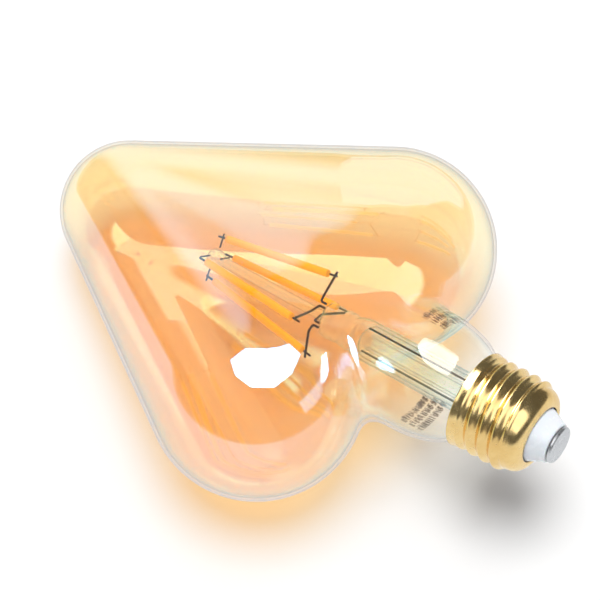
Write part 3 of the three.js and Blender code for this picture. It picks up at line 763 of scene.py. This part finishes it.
def make_cage():
    quarter = math.pi / 2
    for i, letter in enumerate("abcd"):
        make_filament(letter, FIRST_ANGLE + i * quarter)
        make_anchor(letter, FIRST_ANGLE + i * quarter)
    far_side = FIRST_ANGLE + math.pi
    make_arm("a", FIRST_ANGLE, FIRST_ANGLE, *OUTER_ARM)
    make_arm("b", FIRST_ANGLE + quarter, far_side, *INNER_ARM)
    make_arm("c", far_side, far_side, *OUTER_ARM)
    make_arm("d", far_side + quarter, FIRST_ANGLE, *INNER_ARM)
    for name, angle in (("lead_wire_positive", FIRST_ANGLE), ("lead_wire_negative", far_side)):
        shape = tube([polar(LEAD_OFFSET, angle, z) for z in (STEM_TOP_Z, LEAD_LOW_Z)], LEAD_RADIUS)
        piece(name.replace("wire", "conductor"), *shape, name, "nickel_wire")


# ---- driver in the cap ----


def make_bevelled(node, slot, width):
    """A copy of a small part of the frame with its sharp edges rounded over a width in millimetres."""
    source = NODES[node]
    mesh = source.data.copy()
    made = bmesh.new()
    made.from_mesh(mesh)
    bmesh.ops.remove_doubles(made, verts=made.verts, dist=1e-6)
    bmesh.ops.dissolve_limit(made, angle_limit=math.radians(1), verts=made.verts, edges=made.edges)
    sharp = [e for e in made.edges if len(e.link_faces) == 2 and e.calc_face_angle() > math.radians(40)]
    bmesh.ops.bevel(
        made, geom=sharp, offset=width * MM, segments=3, profile=0.5, affect="EDGES", clamp_overlap=True
    )
    made.to_mesh(mesh)
    made.free()
    mesh.materials.clear()
    mesh.polygons.foreach_set("use_smooth", [True] * len(mesh.polygons))
    mesh.set_sharp_from_angle(angle=math.radians(35))
    register(f"{node}_body", mesh, node, slot)


def make_driver():
    slots = {part["node"]: part["material_slot"] for part in frame["record"]["subparts"]}
    for node in ("driver_board", "film_capacitor", "bridge_rectifier", "driver_chip",
                 "electrolytic_capacitor", "fuse_resistor", "inductor"):
        make_bevelled(node, slots[node], BEVEL)
    for node in ("wireless_board", "wireless_shield", "antenna_wire", "line_wire", "neutral_wire"):
        make_bevelled(node, slots[node], FINE_BEVEL)


make_envelope()
make_shell()
make_contact()
make_insulator()
make_cement()
make_stem()
make_exhaust_tube()
make_rod()
make_cage()
make_driver()

# ---- camera and floor, in metres ----

CAMERA_PLACE = (0.16984, -0.21459, 0.3954)
CAMERA_WAY, CAMERA_DOWN = (-0.37239, 0.46996, -0.80029), (0.49746, -0.62689, -0.59962)
CAMERA_LENS, CAMERA_SENSOR = 99.3, 36
TABLE_HALF = 6.0


def look(obj, place, way, down):
    """Puts an object at a place, looking one way with its lower side turned down."""
    back, up = -Vector(way).normalized(), -Vector(down).normalized()
    right = up.cross(back).normalized()
    turn = Matrix((right, back.cross(right), back)).transposed().to_4x4()
    obj.matrix_world = Matrix.Translation(place) @ turn


def make_camera():
    camera = bpy.data.objects.new("camera", bpy.data.cameras.new("camera"))
    scene.collection.objects.link(camera)
    camera.data.sensor_width = CAMERA_SENSOR
    camera.data.lens = CAMERA_LENS
    camera.data.clip_start = 0.01
    look(camera, CAMERA_PLACE, CAMERA_WAY, CAMERA_DOWN)
    scene.camera = camera


def staged(name, points, faces, material):
    mesh = bpy.data.meshes.new(name)
    mesh.from_pydata(points, [], faces)
    mesh.materials.append(material)
    obj = bpy.data.objects.new(name, mesh)
    scene.collection.objects.link(obj)
    return obj


def rectangle(left, near, right, far):
    """Corners of a rectangle along the table's axes."""
    return [(left, near), (right, near), (right, far), (left, far)]


def level(height, outline):
    """An outline of (x, y) corners at one height."""
    return [(x, y, height) for x, y in outline]


def make_floor():
    s = Shader("white_table")
    colour = s.mix(s.noise(6, 2), rgb(0.88, 0.88, 0.88), rgb(0.9, 0.9, 0.9))
    s.solid(colour, 0.6, Specular_IOR_Level=0.2)
    corners = rectangle(-TABLE_HALF, -TABLE_HALF, TABLE_HALF, TABLE_HALF)
    staged("table", level(0, corners), [(0, 1, 2, 3)], s.material)


# ---- reflected cards: (x, y) outlines over the table, and heights, in millimetres ----

SOFTBOX_HEIGHT = 60
LOBE_SOFTBOX, LOBE_SOFTBOX_GLOW = [
    (9, -42), (11, -36.5), (15.5, -33), (18, -29.5), (19.5, -26), (25, -24.5), (28, -32), (27, -40.5),
    (20, -46), (13, -45.5),
], 7.0
NECK_SOFTBOX, NECK_SOFTBOX_GLOW = [
    (37, -4), (37.5, 2), (44, 4), (55.5, 5.5), (58.5, -1), (59, -8.5), (51.5, -10.5), (44, -10.5),
], 9.0
FAR_LOBE_SOFTBOX, FAR_LOBE_SOFTBOX_GLOW = [
    (-21, 41), (-12, 28), (-3, 19), (6, 21), (15, 26), (20, 32), (25, 45), (40, 70), (40, 140), (-60, 140),
    (-60, 90), (-30, 55),
], 0.85
CAP_SOFTBOX, CAP_SOFTBOX_HEIGHT, CAP_SOFTBOX_GLOW = rectangle(56, -36, 98, -2), 64, 1.6
# The strip light and its far end share an edge, and a grid dims each between two degrees of slant
STRIP_HEIGHT, STRIP_GLOW = 62, 3.4
STRIP_SPLIT = [(-69, 12), (-69, 60)]
STRIP_END = [(-100, 20), (-90, 13), *STRIP_SPLIT, (-87, 50), (-100, 42)]
STRIP = [STRIP_SPLIT[0], (-12, 10), (6, 12), (6, 40), (-12, 46), (-31, 56), (-60, 64), STRIP_SPLIT[1]]
STRIP_END_GRID, STRIP_GRID = (0.24, 0.3), (0.15, 0.23)
# A tall wall between two points of the table, and the table itself as reflections see it
WALL_ENDS, WALL_HEIGHT, SURROUNDINGS_GLOW = [(-640, 750), (-980, 260)], 2200, 0.9
WHITE_TABLE_HALF, WHITE_TABLE_HEIGHT = 4000, 1
SKIRT_SIDES, SKIRT_RADIUS, SKIRT_LOW_Z, SKIRT_HIGH_Z, SKIRT_GLOW = 8, 1000, 1.5, 160, 1.0
# A ray that has passed more clear surfaces than this was mirrored in the wall behind the glass
FRONT_CROSSINGS = 3.5


def show_only_in(obj, **rays):
    """Leaves a staged object visible only to the named kinds of ray."""
    for kind in ("camera", "diffuse", "glossy", "transmission", "shadow"):
        setattr(obj, f"visible_{kind}", rays.get(kind, False))


def make_card(name, corners, strength, behind=None, grid=None, soft=False, colour=rgb(1, 1, 1), faces=None):
    """A glowing card that is seen only in reflections. behind=True shows it in the wall behind the glass,
    False in the front wall and in plain surfaces, None in both. A grid over it dims it between two degrees
    of slant, and soft fades its sides and top. corners are in the row frame, in millimetres."""
    s = Shader(name)
    glow = s.add("ShaderNodeEmission")
    glow.inputs["Color"].default_value = colour
    shown = strength
    if grid:
        slant = s.add("ShaderNodeLayerWeight")
        slant.inputs["Blend"].default_value = EVEN_BLEND
        shown = s.ease(slant.outputs["Facing"], *grid, strength, 0.0)
    if soft:
        spot = s.add("ShaderNodeSeparateXYZ")
        s.wire(s.add("ShaderNodeTexCoord").outputs["Generated"], spot.inputs[0])
        rising, falling = s.ease(spot.outputs["X"], 0, 0.5), s.ease(spot.outputs["X"], 0.6, 1, 1.0, 0.0)
        sides = s.math("MULTIPLY", rising, falling)
        shown = s.math("MULTIPLY", sides, s.ease(spot.outputs["Z"], 0.4, 1, strength, 0.0))
    s.feed(shown, glow.inputs["Strength"])
    surface = glow
    if behind is not None:
        nothing = s.add("ShaderNodeBsdfTransparent")
        crossed = s.add("ShaderNodeLightPath").outputs["Transparent Depth"]
        surface = s.add("ShaderNodeMixShader")
        lit = s.math("GREATER_THAN" if behind else "LESS_THAN", crossed, FRONT_CROSSINGS)
        s.wire(lit, surface.inputs[0])
        s.wire(nothing.outputs[0], surface.inputs[1])
        s.wire(glow.outputs[0], surface.inputs[2])
    s.wire(surface.outputs[0], s.output.inputs["Surface"])
    points = [tuple(c * MM for c in corner) for corner in corners]
    show_only_in(staged(name, points, faces or [tuple(range(len(points)))], s.material), glossy=True)


def make_softbox(name, height, outline, strength):
    """A card low over the bulb that makes one clear highlight on its front."""
    make_card(name, level(height, outline), strength, behind=False)


def make_softboxes():
    make_softbox("lobe_softbox", SOFTBOX_HEIGHT, LOBE_SOFTBOX, LOBE_SOFTBOX_GLOW)
    make_softbox("neck_softbox", SOFTBOX_HEIGHT, NECK_SOFTBOX, NECK_SOFTBOX_GLOW)
    make_softbox("far_lobe_softbox", SOFTBOX_HEIGHT, FAR_LOBE_SOFTBOX, FAR_LOBE_SOFTBOX_GLOW)


def make_strip_light():
    """The long streak in the wall behind the glass."""
    make_card("strip_light_end", level(STRIP_HEIGHT, STRIP_END), STRIP_GLOW, behind=True, grid=STRIP_END_GRID)
    make_card("strip_light", level(STRIP_HEIGHT, STRIP), STRIP_GLOW, behind=True, grid=STRIP_GRID)


def make_white_surroundings():
    """A soft wall beyond the bulb, and the white table as front walls and plain surfaces mirror it."""
    wall = level(0, WALL_ENDS) + level(WALL_HEIGHT, WALL_ENDS[::-1])
    make_card("white_wall", wall, SURROUNDINGS_GLOW, soft=True)
    table = rectangle(-WHITE_TABLE_HALF, -WHITE_TABLE_HALF, WHITE_TABLE_HALF, WHITE_TABLE_HALF)
    make_card("white_table", level(WHITE_TABLE_HEIGHT, table), SURROUNDINGS_GLOW, behind=False)


def make_skirt():
    """A low many-sided wall and the table inside it, seen only in the wall behind the glass."""
    count = SKIRT_SIDES
    turns = [2 * math.pi / count * i for i in range(count)]
    rim = [(SKIRT_RADIUS * math.cos(turn), SKIRT_RADIUS * math.sin(turn)) for turn in turns]
    sides = [(i, (i + 1) % count, (i + 1) % count + count, i + count) for i in range(count)]
    corners = level(SKIRT_LOW_Z, rim) + level(SKIRT_HIGH_Z, rim)
    make_card("low_glow", corners, SKIRT_GLOW, behind=True, colour=rgb(0.7, 0.95, 1.0),
              faces=[tuple(range(count)), *sides])


# ---- backdrops and lamps, in metres ----

BACKDROP_RADIUS, BACKDROP_GLOW = 2.4, 0.9
ROOM_RADIUS, ROOM_GLOW = 5.2, 0.35
KEY_PLACE, KEY_SIZE, KEY_POWER = (-0.12, -0.12, 3.0), 2.0, 75
FILL_PLACE, FILL_SIZE, FILL_POWER = (-1.0, 1.8, 3.2), 3.2, 25
LAMP_AIM = (0, 0, 0.03)
WORLD_GLOW = 0.12


def make_dome(name, radius, strength, columns=48, rows=12, **rays):
    """A half ball of pale backdrop round the table, open below."""
    turns = np.linspace(0, 2 * math.pi, columns, endpoint=False)
    rises = np.linspace(0, math.pi / 2, rows, endpoint=False)
    levels = [(radius * math.cos(rise), radius * math.sin(rise)) for rise in rises]
    rings = [[polar(across, turn, z) for turn in turns] for across, z in levels]
    points, faces = loft(rings, [(0, 0, 0), (0, 0, radius)])
    open_faces = faces[: (rows - 1) * columns] + faces[-columns:]
    s = Shader(name)
    glow = s.add("ShaderNodeEmission")
    glow.inputs["Strength"].default_value = strength
    s.wire(glow.outputs[0], s.output.inputs["Surface"])
    show_only_in(staged(name, points, open_faces, s.material), **rays)


def make_lamp(name, place, size, power):
    """A soft lamp that lights the scene but isn't seen in the glass."""
    lamp = bpy.data.lights.new(name, "AREA")
    lamp.shape = "DISK"
    lamp.size = size
    lamp.energy = power
    obj = bpy.data.objects.new(name, lamp)
    scene.collection.objects.link(obj)
    way = Vector(LAMP_AIM) - Vector(place)
    look(obj, place, way, way.orthogonal())
    obj.visible_glossy = False
    obj.visible_camera = False


def make_world():
    world = bpy.data.worlds.new("studio")
    scene.world = world
    world.use_nodes = True
    background = world.node_tree.nodes["Background"]
    background.inputs["Color"].default_value = rgb(1, 1, 1)
    background.inputs["Strength"].default_value = WORLD_GLOW


make_camera()
make_floor()
make_world()
make_softboxes()
make_strip_light()
make_white_surroundings()
make_softbox("cap_softbox", CAP_SOFTBOX_HEIGHT, CAP_SOFTBOX, CAP_SOFTBOX_GLOW)
make_skirt()
make_dome("pale_backdrop", BACKDROP_RADIUS, BACKDROP_GLOW, camera=True)
make_dome("pale_room", ROOM_RADIUS, ROOM_GLOW, diffuse=True)
make_lamp("key", KEY_PLACE, KEY_SIZE, KEY_POWER)
make_lamp("fill", FILL_PLACE, FILL_SIZE, FILL_POWER)

scene.view_settings.view_transform = "Standard"
scene.cycles.transparent_max_bounces = 48
scene.cycles.caustics_reflective = False
